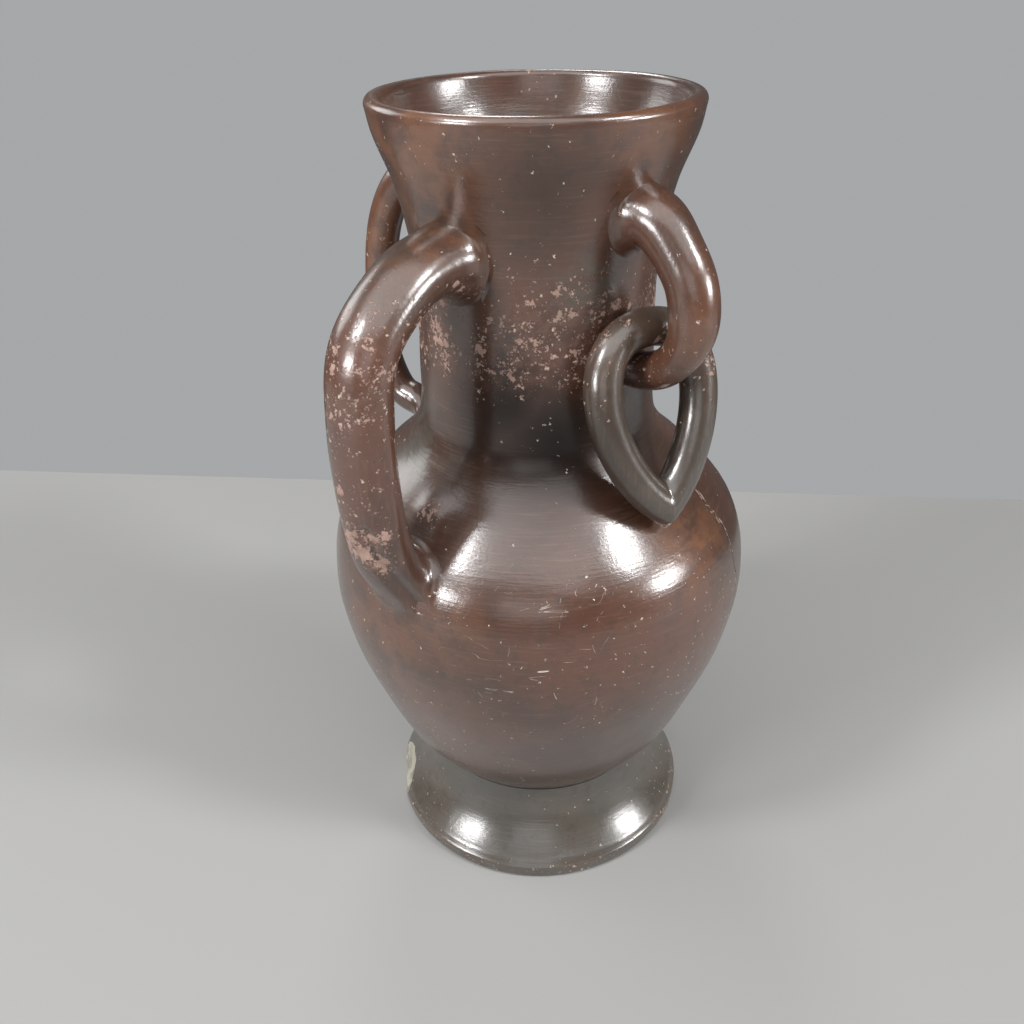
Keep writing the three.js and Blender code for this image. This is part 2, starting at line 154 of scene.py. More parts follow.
lip_height = RIM_HEIGHT - LIP_THICKNESS / 2
outer_steps, inner_steps = 104, 52
going_up = [mix(WAIST_HEIGHT, lip_height, i / outer_steps) for i in range(outer_steps + 1)]
going_down = [mix(lip_height, WAIST_HEIGHT, i / inner_steps) for i in range(1, inner_steps + 1)]
wall_outline = [(wall_at(z)[0], z) for z in going_up]
wall_outline += arc(RIM_RADIUS - LIP_THICKNESS / 2, lip_height, LIP_THICKNESS / 2, 0, 180, 10)[1:]
wall_outline += [(inside_at(z), z) for z in going_down]
thrown_wall = throw_on_wheel("thrown_wall", wall_outline + wall_outline[:1], "NOTHING")
press_by_hand(thrown_wall, depth=0.0007, spread=0.05)

# A scar of smeared clay on the shoulder, between the handle's lower end and the neck.
scar = [(-0.0585, 0.0010, 0.1708), (-0.0600, -0.0050, 0.1695)]
press_along(thrown_wall, scar, reach=0.0075, height=0.0011)
bpy.ops.object.shade_smooth_by_angle(angle=math.radians(50))


def add_node(tree, kind, inputs=None, **settings):
    """Adds a node, with its settings and with sockets that take a link or a plain value."""
    node = tree.nodes.new(kind)
    for key, value in settings.items():
        setattr(node, key, value)
    for socket, value in (inputs or {}).items():
        if isinstance(value, bpy.types.NodeSocket):
            tree.links.new(value, node.inputs[socket])
        else:
            node.inputs[socket].default_value = value
    return node


def math_of(tree, operation, a, b=0.0):
    return add_node(tree, "ShaderNodeMath", {0: a, 1: b}, operation=operation).outputs[0]


def blend_colour(tree, share, a, b):
    """Mixes two colours. Inputs 6 and 7 and output 2 are the colour sockets of the mix node."""
    node = add_node(tree, "ShaderNodeMix", {0: share}, data_type="RGBA")
    for socket, value in ((6, a), (7, b)):
        if isinstance(value, bpy.types.NodeSocket):
            tree.links.new(value, node.inputs[socket])
        else:
            node.inputs[socket].default_value = (*value, 1)
    return node.outputs[2]


def step_between(tree, value, low, high):
    """0 below low, 1 above high, smooth between, or the other way round where low is above high."""
    start, end = (1.0, 0.0) if low > high else (0.0, 1.0)
    inputs = {0: value, 1: min(low, high), 2: max(low, high), 3: start, 4: end}
    return add_node(tree, "ShaderNodeMapRange", inputs, interpolation_type="SMOOTHSTEP").outputs[0]


def vector_of(tree, operation, a, b=(0, 0, 0), output=0):
    return add_node(tree, "ShaderNodeVectorMath", {0: a, 1: b}, operation=operation).outputs[output]


def noise_at(tree, place, scale, detail=2.0, roughness=0.5, distortion=0.0):
    inputs = {"Vector": place, "Scale": scale, "Detail": detail, "Roughness": roughness,
              "Distortion": distortion}
    return add_node(tree, "ShaderNodeTexNoise", inputs).outputs[0]


def stretched(tree, place, scale, turn=(0, 0, 0)):
    inputs = {"Vector": place, "Scale": scale, "Rotation": turn}
    return add_node(tree, "ShaderNodeMapping", inputs).outputs[0]


def near_point(tree, place, point, reach):
    """1 at a point of the jug, falling to 0 at a distance."""
    return step_between(tree, vector_of(tree, "DISTANCE", place, point, "Value"), reach, 0.0)


# Places on the jug, as (point, reach, strength): where the fire turned the clay orange, where it is sooty
# or grey,
#  and where the slip has flaked. The first two sooty places are painted shade at the front of the neck's
#  foot.
FIRED_PATCHES = [
    ((-0.0522, 0.0137, 0.2870), 0.060, 0.80), ((-0.0088, -0.0527, 0.2900), 0.034, 0.45),
    ((-0.0813, 0.0072, 0.1238), 0.034, 0.45), ((-0.0767, -0.0242, 0.1369), 0.026, 0.35),
    ((0.0000, -0.0720, 0.1560), 0.030, 0.80), ((-0.0090, -0.0770, 0.2350), 0.032, 0.50),
    ((-0.0120, 0.0760, 0.2400), 0.045, 0.80), ((0.0600, 0.0500, 0.1200), 0.050, 0.50),
    ((0.0450, 0.0200, 0.2700), 0.040, 0.40),
]
SOOT_AND_SHADE_PATCHES = [
    ((-0.0290, -0.0330, 0.1950), 0.040, 1.00), ((-0.0380, -0.0200, 0.2080), 0.028, 0.90),
    ((0.0500, -0.0600, 0.1300), 0.045, 0.60), ((-0.0400, -0.0350, 0.2750), 0.030, 0.35),
]
# All grey places but the third are a painted sheen on the left of the shoulder and neck.
GREY_AND_SHEEN_PATCHES = [
    ((-0.0493, 0.0188, 0.1760), 0.034, 0.5), ((-0.0337, 0.0248, 0.1963), 0.026, 0.6),
    ((-0.0190, -0.0380, 0.2480), 0.018, 0.8), ((-0.0640, 0.0100, 0.2440), 0.030, 0.6),
]
FLAKED_PATCHES = [
    ((-0.0927, -0.0015, 0.1743), 0.013, 2.40), ((-0.0900, -0.0060, 0.1680), 0.011, 2.2),
    ((-0.0890, -0.0095, 0.1775), 0.008, 1.0), ((-0.0945, 0.0040, 0.2080), 0.024, 0.42),
    ((-0.0940, 0.0050, 0.1880), 0.022, 0.56), ((-0.0915, -0.0075, 0.1900), 0.014, 0.50),
    ((-0.0590, -0.0015, 0.1704), 0.008, 1.4), ((-0.0158, -0.0388, 0.2421), 0.012, 0.8),
    ((0.0420, 0.0340, 0.2960), 0.016, 0.6),
]

# Flakes also ring the outside of the neck, thickest between two heights, and the edge of the foot.
# The distances from the axis keep them off the inside of the neck.
NECK_FLAKES = (0.206, 0.223, 0.231, 0.262)
INSIDE_NECK = (0.0385, 0.0400)
EDGE_FLAKES = (0.010, 0.003)

# Where the belly was scratched, the side of the jug with the crack, and the colours of the clay.
SCRATCHED_SPOT = (-0.0630, -0.0510, 0.1300)
SCRATCHED_REACH = 0.042
CRACK_WAY = (0.2672, -0.9636, 0)
FIRED_ORANGE = (0.195, 0.080, 0.034)
# The soot colour also paints shade at the front of the neck's foot.
SOOT_AND_SHADE_BLACK = (0.008, 0.005, 0.004)
# The kiln grey also paints a sheen on the left of the shoulder and neck.
KILN_GREY_AND_SHEEN = (0.095, 0.095, 0.076)
DARK_MOTTLE = (0.034, 0.022, 0.018)
STROKE_BROWN = (0.155, 0.092, 0.064)
DARK_GRAIN = (0.028, 0.017, 0.012)
THIN_SLIP = (0.200, 0.098, 0.072)
BARE_BODY = ((0.19, 0.12, 0.096), (0.50, 0.34, 0.28))
SPECK_CREAM = (0.60, 0.51, 0.43)
SCRATCH_CREAM = (0.60, 0.54, 0.47)
CRACK_BLACK = (0.008, 0.006, 0.005)


def burnished_clay(name, dark, warm, roughness, flaking, dust, strokes_way):
    """Slipped and burnished earthenware, the same all over the jug: fire clouds, burnishing strokes,
    slip worn and flaked off to the pink body, pale specks, scratches and one hairline crack."""
    material = bpy.data.materials.new(name)
    material.use_nodes = True
    tree = material.node_tree
    tree.nodes.clear()
    place = add_node(tree, "ShaderNodeTexCoord").outputs["Object"]
    height = add_node(tree, "ShaderNodeSeparateXYZ", {0: place}).outputs["Z"]
    clouds = noise_at(tree, place, 15, 3, 0.55, 0.4)
    mottle = noise_at(tree, place, 65, 5, 0.65, 0.6)
    fine_mottle = noise_at(tree, place, 260, 3, 0.6)
    strokes = noise_at(tree, stretched(tree, place, strokes_way), 1, 3, 0.6)
    grain = noise_at(tree, place, 1100, 2, 0.6)

    def times(*values):
        product = values[0]
        for value in values[1:]:
            product = math_of(tree, "MULTIPLY", product, value)
        return product

    def plus(a, b):
        return math_of(tree, "ADD", a, b)

    def chips(scale, share, small, large):
        """Ragged chips: cells picked at random by a share, each from small to large for its cell."""
        inputs = {"Vector": place, "Scale": scale * 1.3, "Detail": 4.0, "Roughness": 0.7}
        tear = add_node(tree, "ShaderNodeTexNoise", inputs).outputs["Color"]
        torn = vector_of(tree, "ADD", vector_of(tree, "MULTIPLY", tear, (2.4 / scale,) * 3), place)
        cells = add_node(tree, "ShaderNodeTexVoronoi", {"Vector": torn, "Scale": scale})
        pick = add_node(tree, "ShaderNodeSeparateColor", {0: cells.outputs["Color"]})
        picked = step_between(tree, math_of(tree, "SUBTRACT", share, pick.outputs[0]), 0.0, 0.01)
        spread = plus(times(pick.outputs[1], pick.outputs[1], large - small), small)
        near = math_of(tree, "SUBTRACT", spread, cells.outputs["Distance"])
        return times(picked, step_between(tree, near, 0.0, 0.03))

    def paint(under, share, over):
        return blend_colour(tree, share, under, over)

    def most_of(first, *others):
        for other in others:
            first = math_of(tree, "MAXIMUM", first, other)
        return first

    colour = paint(dark, step_between(tree, clouds, 0.36, 0.64), warm)
    for point, reach, strength in FIRED_PATCHES:
        broken = step_between(tree, mottle, 0.66, 0.34)
        colour = paint(colour, times(near_point(tree, place, point, reach), broken, strength), FIRED_ORANGE)
    # Grey patches; all but the third are a painted sheen on the left of the shoulder and neck.
    for point, reach, strength in GREY_AND_SHEEN_PATCHES:
        broken = step_between(tree, mottle, 0.38, 0.60)
        colour = paint(colour, times(near_point(tree, place, point, reach), broken, strength), KILN_GREY_AND_SHEEN)
    colour = paint(colour, times(step_between(tree, mottle, 0.50, 0.74), 0.45), DARK_MOTTLE)
    colour = paint(colour, times(step_between(tree, strokes, 0.50, 0.72), 0.28), STROKE_BROWN)
    colour = paint(colour, times(step_between(tree, fine_mottle, 0.52, 0.68), 0.30), DARK_GRAIN)
    # Soot, and painted shade at the front of the neck's foot.
    soot_and_shade = most_of(0.0, *(times(near_point(tree, place, point, reach), strength)
                          for point, reach, strength in SOOT_AND_SHADE_PATCHES))
    colour = paint(colour, soot_and_shade, SOOT_AND_SHADE_BLACK)

    # The slip thins to a reddish haze, then comes off in crumbs and in ragged islands.
    low, thick_low, thick_high, high = NECK_FLAKES
    from_axis = vector_of(tree, "LENGTH", vector_of(tree, "MULTIPLY", place, (1, 1, 0)), output="Value")
    zone = times(
        step_between(tree, height, low, thick_low), step_between(tree, height, high, thick_high),
        step_between(tree, noise_at(tree, place, 42, 2), 0.30, 0.55),
        step_between(tree, from_axis, *INSIDE_NECK),
    )
    zone = most_of(zone, times(step_between(tree, height, *EDGE_FLAKES), 0.45),
                   *(times(near_point(tree, place, point, reach), strength)
                     for point, reach, strength in FLAKED_PATCHES))
    zone = times(zone, flaking)
    colour = paint(colour, times(zone, step_between(tree, fine_mottle, 0.40, 0.62), 0.30), THIN_SLIP)
    cluster = step_between(tree, noise_at(tree, place, 120, 2), 0.36, 0.62)
    flakes = most_of(
        chips(330, times(zone, zone, cluster, 0.74), 0.18, 0.78),
        chips(700, times(zone, zone, cluster, 0.60), 0.15, 0.70),
        chips(190, times(step_between(tree, zone, 0.9, 1.7), 0.85), 0.35, 0.85),
        chips(1200, times(zone, plus(cluster, 0.30), 0.46), 0.15, 0.70),
    )
    flake_colour = paint(BARE_BODY[0], noise_at(tree, place, 380, 3), BARE_BODY[1])
    colour = paint(colour, flakes, flake_colour)

    # Nicks in the slip: ragged dots and dashes, gathered in patches.
    rubbed = times(step_between(tree, clouds, 0.38, 0.62), dust)
    specks = most_of(chips(260, times(rubbed, 0.35), 0.05, 0.18), chips(700, rubbed, 0.10, 0.34))
    colour = paint(colour, specks, SPECK_CREAM)

    # Scratches where the belly was rubbed, level ones and slanting ones.
    spot = near_point(tree, place, SCRATCHED_SPOT, SCRATCHED_REACH)
    scuffs = 0.0
    for scale, turn, gaps, broken in (
        ((38, 38, 150), (0.1, 0.1, 0.0), 115, 0.54),
        ((120, 120, 42), (0.7, 0.4, 0.3), 145, 0.57),
    ):
        waves = noise_at(tree, stretched(tree, place, scale, turn), 1, 1, 0.5, 0.6)
        line = step_between(tree, math_of(tree, "ABSOLUTE", plus(waves, -0.5)), 0.0055, 0.0014)
        gap = step_between(tree, noise_at(tree, place, gaps, 2), broken, broken + 0.03)
        scuffs = most_of(scuffs, times(line, gap, spot))
    colour = paint(colour, scuffs, SCRATCH_CREAM)

    # A hairline crack runs up the belly on the right, with crumbs off its edge.
    ahead = vector_of(tree, "DOT_PRODUCT", place, CRACK_WAY, "Value")
    across = vector_of(tree, "DOT_PRODUCT", place, (-CRACK_WAY[1], CRACK_WAY[0], 0), "Value")
    wander = times(plus(noise_at(tree, place, 55, 4), -0.5), 0.010)
    across = math_of(tree, "ABSOLUTE", plus(across, wander))
    cracked = times(step_between(tree, ahead, 0.02, 0.03), step_between(tree, height, 0.090, 0.100),
                    step_between(tree, height, 0.180, 0.170))
    crack = times(step_between(tree, across, 0.00055, 0.0002), cracked)
    crumbs = times(step_between(tree, across, 0.0016, 0.0006), cracked,
                   step_between(tree, noise_at(tree, place, 420, 3), 0.54, 0.57))
    colour = paint(paint(colour, crumbs, flake_colour), crack, CRACK_BLACK)

    # Bare clay, soot and the painted shade are matt, and the marks lie a little below the slip.
    marks = most_of(flakes, specks, scuffs, crumbs)
    gloss = plus(times(strokes, 0.16), roughness - 0.08)
    gloss = plus(gloss, times(step_between(tree, mottle, 0.4, 0.7), 0.06))
    gloss = plus(gloss, times(zone, 0.10))
    gloss = plus(gloss, times(marks, 0.45))

    coat = math_of(tree, "SUBTRACT", 1.0, most_of(times(marks, 0.9), times(soot_and_shade, 0.8)))
    relief = times(strokes, 0.05)
    relief = plus(relief, times(grain, 0.025))
    relief = plus(relief, times(mottle, 0.14))
    relief = plus(relief, times(most_of(marks, crack), -0.16))
    bump = add_node(tree, "ShaderNodeBump", {"Height": relief, "Strength": 1.0, "Distance": 0.001})

    shader = add_node(tree, "ShaderNodeBsdfPrincipled", {
        "Base Color": colour, "Roughness": gloss,
        "Normal": bump.outputs[0], "Coat Normal": bump.outputs[0],
        "Specular IOR Level": 0.25, "Coat Weight": coat, "Coat Roughness": 0.22, "Coat IOR": 1.8,
    })
    add_node(tree, "ShaderNodeOutputMaterial", {"Surface": shader.outputs[0]})
    return material


ROUND_THE_WALL = (70, 70, 1500)
ALONG_A_BAR = (900, 900, 110)
WALL_BROWN = ((0.047, 0.020, 0.0115), (0.094, 0.036, 0.020))
body_clay = burnished_clay("body_clay", *WALL_BROWN, roughness=0.40, flaking=1.0, dust=0.22,
                           strokes_way=ROUND_THE_WALL)
thrown_wall.data.materials.append(body_clay)
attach(thrown_wall, "vessel")
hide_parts("lower_bowl", "shoulder", "neck")

# The foot: a splayed disc of the same clay, thrown with the floor of the jug in its top and luted
# to the bowl at the waist. It was fired greyer, and a chip out of its edge shows the pale core.
FOOT_RADIUS = 0.0642
FOOT_BAND_HEIGHT = 0.0065
FOOT_EDGE_ROUND = 0.0016
WAIST_RADIUS = 0.0486
FLOOR_THICKNESS = 0.012
FLOOR_ROUND = 0.016
foot_outline = arc(FOOT_RADIUS - FOOT_EDGE_ROUND, FOOT_EDGE_ROUND, FOOT_EDGE_ROUND, -90, 0, 5)
foot_outline += arc(FOOT_RADIUS - FOOT_EDGE_ROUND, FOOT_BAND_HEIGHT - FOOT_EDGE_ROUND, FOOT_EDGE_ROUND,
                    0, 60, 4)
flare_steps = 24
for i in range(1, flare_steps + 1):
    rise = i / flare_steps
    flare = 1 - (1 - rise) ** 2.1
    foot_outline.append((mix(FOOT_RADIUS, WAIST_RADIUS, flare), mix(FOOT_BAND_HEIGHT, WAIST_HEIGHT, rise)))
inner_radius = inside_at(WAIST_HEIGHT)
foot_outline.append((inner_radius, WAIST_HEIGHT))
foot_outline += arc(inner_radius - FLOOR_ROUND, FLOOR_THICKNESS + FLOOR_ROUND, FLOOR_ROUND, 0, -90, 8)
foot_outline += [(inner_radius * share, FLOOR_THICKNESS) for share in (0.4, 0.2, 0.00001)]
foot_ring = throw_on_wheel("foot_ring", foot_outline, "TRIFAN")
press_by_hand(foot_ring, depth=0.0005, spread=0.05)

# The chip is knocked out with a lump that has a torn skin, so that the break is rough as well.
CHIP_AZIMUTH = 136
CHIP_SIZE = (0.0165, 0.030, 0.0200)
CHIP_STANDOFF = 0.0101
CHIP_HEIGHT = 0.014
chip_turn = math.radians(CHIP_AZIMUTH)
bpy.ops.object.select_all(action="DESELECT")
bpy.ops.mesh.primitive_ico_sphere_add(subdivisions=5, radius=1)
flake_cutter = bpy.context.object
flake_cutter.scale = CHIP_SIZE
flake_cutter.rotation_euler = (0, 0, chip_turn)
chip_reach = FOOT_RADIUS + CHIP_STANDOFF
flake_cutter.location = (chip_reach * math.cos(chip_turn), chip_reach * math.sin(chip_turn), CHIP_HEIGHT)
bpy.ops.object.transform_apply(location=True, rotation=True, scale=True)
torn = bpy.data.textures.new("torn_clay", "CLOUDS")
torn.noise_scale = 0.006
tear = flake_cutter.modifiers.new("torn", "DISPLACE")
tear.texture, tear.texture_coords, tear.strength = torn, "LOCAL", 0.0022
bpy.ops.object.modifier_apply(modifier=tear.name)

CORE_CREAM = (0.34, 0.325, 0.265)
CORE_GREY = (0.22, 0.21, 0.175)
GRIT_CREAM = (0.48, 0.45, 0.37)
bare_core = bpy.data.materials.new("bare_core")
bare_core.use_nodes = True
core_tree = bare_core.node_tree
core_tree.nodes.clear()
core_place = add_node(core_tree, "ShaderNodeTexCoord").outputs["Object"]
core_grit = noise_at(core_tree, core_place, 700, 4, 0.7)
core_band = step_between(core_tree, noise_at(core_tree, core_place, 160, 3), 0.45, 0.6)
core_colour = blend_colour(core_tree, core_band, CORE_CREAM, CORE_GREY)
grit_share = step_between(core_tree, core_grit, 0.5, 0.75)
core_colour = blend_colour(core_tree, grit_share, core_colour, GRIT_CREAM)
core_relief = {"Height": core_grit, "Strength": 0.8, "Distance": 0.0006}
core_shader = add_node(core_tree, "ShaderNodeBsdfPrincipled", {
    "Base Color": core_colour, "Roughness": 0.92, "Specular IOR Level": 0.25,
    "Normal": add_node(core_tree, "ShaderNodeBump", core_relief).outputs[0],
})
add_node(core_tree, "ShaderNodeOutputMaterial", {"Surface": core_shader.outputs[0]})

FOOT_GREY = ((0.058, 0.054, 0.046), (0.076, 0.064, 0.050))
foot_clay = burnished_clay("foot_clay", *FOOT_GREY, roughness=0.36, flaking=1.0, dust=0.20,
                           strokes_way=ROUND_THE_WALL)
foot_ring.data.materials.append(foot_clay)
foot_ring.data.materials.append(bare_core)
flake_cutter.data.materials.append(bare_core)
knock_off = foot_ring.modifiers.new("chip", "BOOLEAN")
knock_off.operation, knock_off.object, knock_off.solver = "DIFFERENCE", flake_cutter, "EXACT"
knock_off.material_mode = "TRANSFER"
bpy.context.view_layer.objects.active = foot_ring
bpy.ops.object.modifier_apply(modifier=knock_off.name)
bpy.data.objects.remove(flake_cutter)
bpy.ops.object.select_all(action="DESELECT")
foot_ring.select_set(True)
bpy.ops.object.shade_smooth_by_angle(angle=math.radians(40))
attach(foot_ring, "vessel")
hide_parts("foot")


# The strap handle: a thick oval coil of clay bent by hand, its upper end pressed onto the neck and
# its lower end drawn down and smeared into the shoulder. Its line is (distance from the axis, height).
def along_line(points, share):
    """Point and direction on a smooth curve through points, with share running from 0 to 1."""
    span = share * (len(points) - 1)
    i = min(int(span), len(points) - 2)
    t = span - i
    p1, p2 = Vector(points[i]), Vector(points[i + 1])
    p0 = Vector(points[max(i - 1, 0)])
    p3 = Vector(points[min(i + 2, len(points) - 1)])
    once, twice, thrice = p2 - p0, 2 * p0 - 5 * p1 + 4 * p2 - p3, 3 * p1 - p0 - 3 * p2 + p3
    at = 0.5 * (2 * p1 + once * t + twice * t**2 + thrice * t**3)
    way = 0.5 * (once + 2 * twice * t + 3 * thrice * t**2)
    return at, way.normalized()


def clay_line(points, steps, fillets):
    """Stations (distance run, point, direction) along a smooth line: close together in the fillet at
    either end, where fillets says there is one, and even between."""
    fine_steps = 600
    fine = [along_line(points, i / fine_steps) for i in range(fine_steps + 1)]
    run = [0.0]
    for (a, _), (b, _) in zip(fine, fine[1:]):
        run.append(run[-1] + (b - a).length)
    length = run[-1]
    low = [0, 0.0005, 0.0016, 0.0035, 0.0065] if fillets[0] else [0]
    high = [length - d for d in (0.0065, 0.0035, 0.0016, 0.0005, 0)] if fillets[1] else [length]
    goals = low + [mix(low[-1], high[0], i / steps) for i in range(1, steps)] + high
    stations, j = [], 0
    for goal in goals:
        while j < len(run) - 2 and run[j + 1] < goal:
            j += 1
        share = (j + (goal - run[j]) / (run[j + 1] - run[j])) / fine_steps
        stations.append((goal, *along_line(points, min(share, 1.0))))
    return stations, length


# The length at either end of a bar along which its rings lean towards the wall.
LEAN_REACH = 0.016


def roll_clay_bar(name, azimuth, points, steps, size, leans=(0, 0), fillets=(True, True), sides=20):
    """Draws a ring of clay along a line in an upright plane. size(distance from the start, distance
    from the end) gives its half thickness in that plane and half width across it, and leans turns
    the rings at either end towards the wall, in degrees."""
    stations, length = clay_line(points, steps, fillets)
    rings = []
    for run, at, way in stations:
        near_start, near_end = (max(0, 1 - d / LEAN_REACH) ** 2 for d in (run, length - run))
        lean = leans[0] * near_start + leans[1] * near_end
        rings.append((at, math.atan2(way[1], way[0]) + math.radians(lean), size(run, length - run)))
    at, turn, (thick, wide) = rings[0]
    bpy.ops.object.select_all(action="DESELECT")
    bpy.ops.mesh.primitive_circle_add(vertices=sides, radius=1, location=(at[0], 0, at[1]),
                                      rotation=(0, math.pi / 2 - turn, 0))
    bar = bpy.context.object
    bar.name = bar.data.name = name
    bar.scale = (thick, wide, 1)
    bpy.ops.object.transform_apply(location=True, rotation=True, scale=True)
    bpy.ops.object.mode_set(mode="EDIT")
    bpy.ops.mesh.select_all(action="SELECT")
    for next_at, next_turn, (next_thick, next_wide) in rings[1:]:
        step = next_at - at
        bend = (next_turn - turn + math.pi) % (2 * math.pi) - math.pi
        centre = (next_at[0], 0, next_at[1])
        bpy.ops.mesh.extrude_region_move(TRANSFORM_OT_translate={"value": (step[0], 0, step[1])})
        bpy.ops.transform.rotate(value=bend, orient_axis="Y", center_override=centre)
        bpy.ops.transform.resize(value=(next_thick / thick, next_wide / wide, next_thick / thick),
                                 center_override=centre)
        at, turn, thick, wide = next_at, next_turn, next_thick, next_wide
    bpy.ops.mesh.select_all(action="SELECT")
    bpy.ops.mesh.normals_make_consistent(inside=False)
    bpy.ops.object.mode_set(mode="OBJECT")
    bar.rotation_euler = (0, 0, math.radians(azimuth))
    bpy.ops.object.transform_apply(location=True, rotation=True, scale=True)
    return bar


def fillet(distance, reach):
    """How far a fillet of a reach stands out at a distance from the wall."""
    return reach * (1 - math.sqrt(1 - max(0, 1 - distance / reach) ** 2))


def smear_onto_wall(bar, sides=20):
    """Lays the end rings of a bar flush on the wall, tucks the last one under its skin and closes it."""
    seat, edge = bar.vertex_groups.new(name="seat"), bar.vertex_groups.new(name="edge")
    corners = len(bar.data.vertices)
    for ring, pull in enumerate((1.0, 1.0, 0.6, 0.2)):
        low = list(range(ring * sides, (ring + 1) * sides))
        high = list(range(corners - (ring + 1) * sides, corners - ring * sides))
        seat.add(low + high, pull, "REPLACE")
        edge.add(low + high, 0.0 if ring else 1.0, "REPLACE")
    bpy.context.view_layer.objects.active = bar
    for kind, label, settings in (
        ("SUBSURF", "round_over", {"levels": 2, "render_levels": 2}),
        ("SHRINKWRAP", "seat", {"target": thrown_wall, "vertex_group": "seat", "offset": 0.00004}),
        ("SHRINKWRAP", "edge", {"target": thrown_wall, "vertex_group": "edge", "offset": -0.00015}),
    ):
        modifier = bar.modifiers.new(label, kind)
        for key, value in settings.items():
            setattr(modifier, key, value)
        bpy.ops.object.modifier_apply(modifier=modifier.name)
    bpy.ops.object.mode_set(mode="EDIT")
    bpy.ops.mesh.select_all(action="DESELECT")
    bpy.ops.mesh.select_non_manifold()
    bpy.ops.mesh.fill_holes(sides=0)
    bpy.ops.object.mode_set(mode="OBJECT")
    bpy.ops.object.shade_smooth_by_angle(angle=math.radians(60))


HANDLE_TOP = 0.254
HANDLE_LOW = 0.154
HANDLE_REACH = 0.0852
HANDLE_HALF_THICKNESS = 0.0095
HANDLE_HALF_WIDTH = 0.012
handle_drop = HANDLE_TOP - HANDLE_LOW
top_wall, low_wall = wall_at(HANDLE_TOP)[0], wall_at(HANDLE_LOW)[0]
handle_line = [
    (top_wall - 0.0002, HANDLE_TOP), (top_wall + 0.008, HANDLE_TOP + 0.0008),
    (mix(top_wall, HANDLE_REACH, 0.5), HANDLE_TOP - 0.03 * handle_drop),
    (mix(top_wall, HANDLE_REACH, 0.9), HANDLE_TOP - 0.18 * handle_drop),
    (HANDLE_REACH, HANDLE_TOP - 0.42 * handle_drop),
    (HANDLE_REACH - 0.0005, HANDLE_TOP - 0.68 * handle_drop),
    (mix(low_wall, HANDLE_REACH, 0.62), HANDLE_TOP - 0.9 * handle_drop),
    (low_wall - 0.0005, HANDLE_LOW - 0.004),
]


def handle_size(from_top, from_low):
    top_swell, low_swell = math.exp(-((from_top / 0.016) ** 2)), math.exp(-((from_low / 0.02) ** 2))
    thick = HANDLE_HALF_THICKNESS * (1 + 0.14 * top_swell + 0.06 * low_swell) + fillet(from_top, 0.0075)
    wide = HANDLE_HALF_WIDTH * (1 + 0.03 * top_swell + 0.06 * low_swell) + fillet(from_top, 0.0065)
    return thick + fillet(from_low, 0.008), wide + fillet(from_low, 0.008)


strap_handle = roll_clay_bar("strap_handle_clay", 180, handle_line, 24, handle_size, leans=(0, -36))
smear_onto_wall(strap_handle)

# The fingers that drew the clay down left a ridge on the handle's edge and a tongue at its foot.
ridge = [(-0.0884, -0.0110, 0.2250), (-0.0888, -0.0110, 0.1999), (-0.0880, -0.0108, 0.1840)]
tongue = [(-0.0922, -0.0045, 0.1790), (-0.0892, -0.0072, 0.1690), (-0.0862, -0.0092, 0.1612),
          (-0.0785, -0.0112, 0.1465)]
press_along(strap_handle, ridge, reach=0.0045, height=0.0007)
press_along(strap_handle, tongue, reach=0.0045, height=0.0020)
handle_clay = burnished_clay("handle_clay", *WALL_BROWN, roughness=0.40, flaking=1.0, dust=0.25,
                             strokes_way=ALONG_A_BAR)
strap_handle.data.materials.append(handle_clay)
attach(strap_handle, "vessel")
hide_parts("strap_handle")

# The ear loops: two coils of clay bent to a C and pressed onto the neck on either side of the
# handle. The near one, fatter, carries the link; the far one is tall and slender.
LINK_LOOP_AZIMUTH = 263
REAR_LOOP_AZIMUTH = 97
loop_top, loop_low, loop_reach = 0.267, 0.218, 0.0691
near_top_wall, near_low_wall = wall_at(loop_top)[0], wall_at(loop_low)[0]
near_line = [
    (near_top_wall - 0.0002, loop_top - 0.0005), (near_top_wall + 0.006, loop_top),
    (mix(near_top_wall, loop_reach, 0.55), loop_top - 0.0054),
    (mix(near_top_wall, loop_reach, 0.92), loop_top - 0.0172), (loop_reach - 0.0005, loop_top - 0.0319),
    (mix(near_low_wall, loop_reach, 0.72), loop_top - 0.0436),
    (mix(near_low_wall, loop_reach, 0.36), loop_low + 0.0004),
    (near_low_wall - 0.0002, loop_low),
]


def near_loop_size(from_top, from_low):
    """The rod of the near loop tapers to its lower half, where the link hangs."""
    taper = min(max((from_top - 0.038) / 0.02, 0), 1)
    half = mix(0.0081, 0.0065, taper * taper * (3 - 2 * taper))
    half = half * (1 + 0.20 * math.exp(-((from_top / 0.014) ** 2))) + fillet(from_low, 0.004)
    return half + fillet(from_top, 0.0065), half + fillet(from_top, 0.005)


link_loop = roll_clay_bar("link_loop_clay", LINK_LOOP_AZIMUTH, near_line, 20, near_loop_size)
smear_onto_wall(link_loop)

far_top, far_low, far_reach = 0.268, 0.178, 0.0731
far_top_wall, far_low_wall = wall_at(far_top)[0], wall_at(far_low)[0]
far_line = [
    (far_top_wall - 0.0002, far_top), (far_top_wall + 0.006, far_top - 0.0002),
    (mix(far_top_wall, far_reach, 0.56), far_top - 0.0081),
    (mix(far_top_wall, far_reach, 0.82), far_top - 0.0234),
    (mix(far_top_wall, far_reach, 0.95), far_top - 0.0468), (far_reach, far_top - 0.0702),
    (mix(far_low_wall, far_reach, 0.7), far_top - 0.0864), (mix(far_low_wall, far_reach, 0.3), far_low),
    (far_low_wall - 0.0002, far_low - 0.001),
]


def far_loop_size(from_top, from_low):
    half = 0.0064 * (1 + 0.12 * math.exp(-((from_top / 0.014) ** 2)))
    fair = half + fillet(from_top, 0.006) + fillet(from_low, 0.006)
    return fair, fair


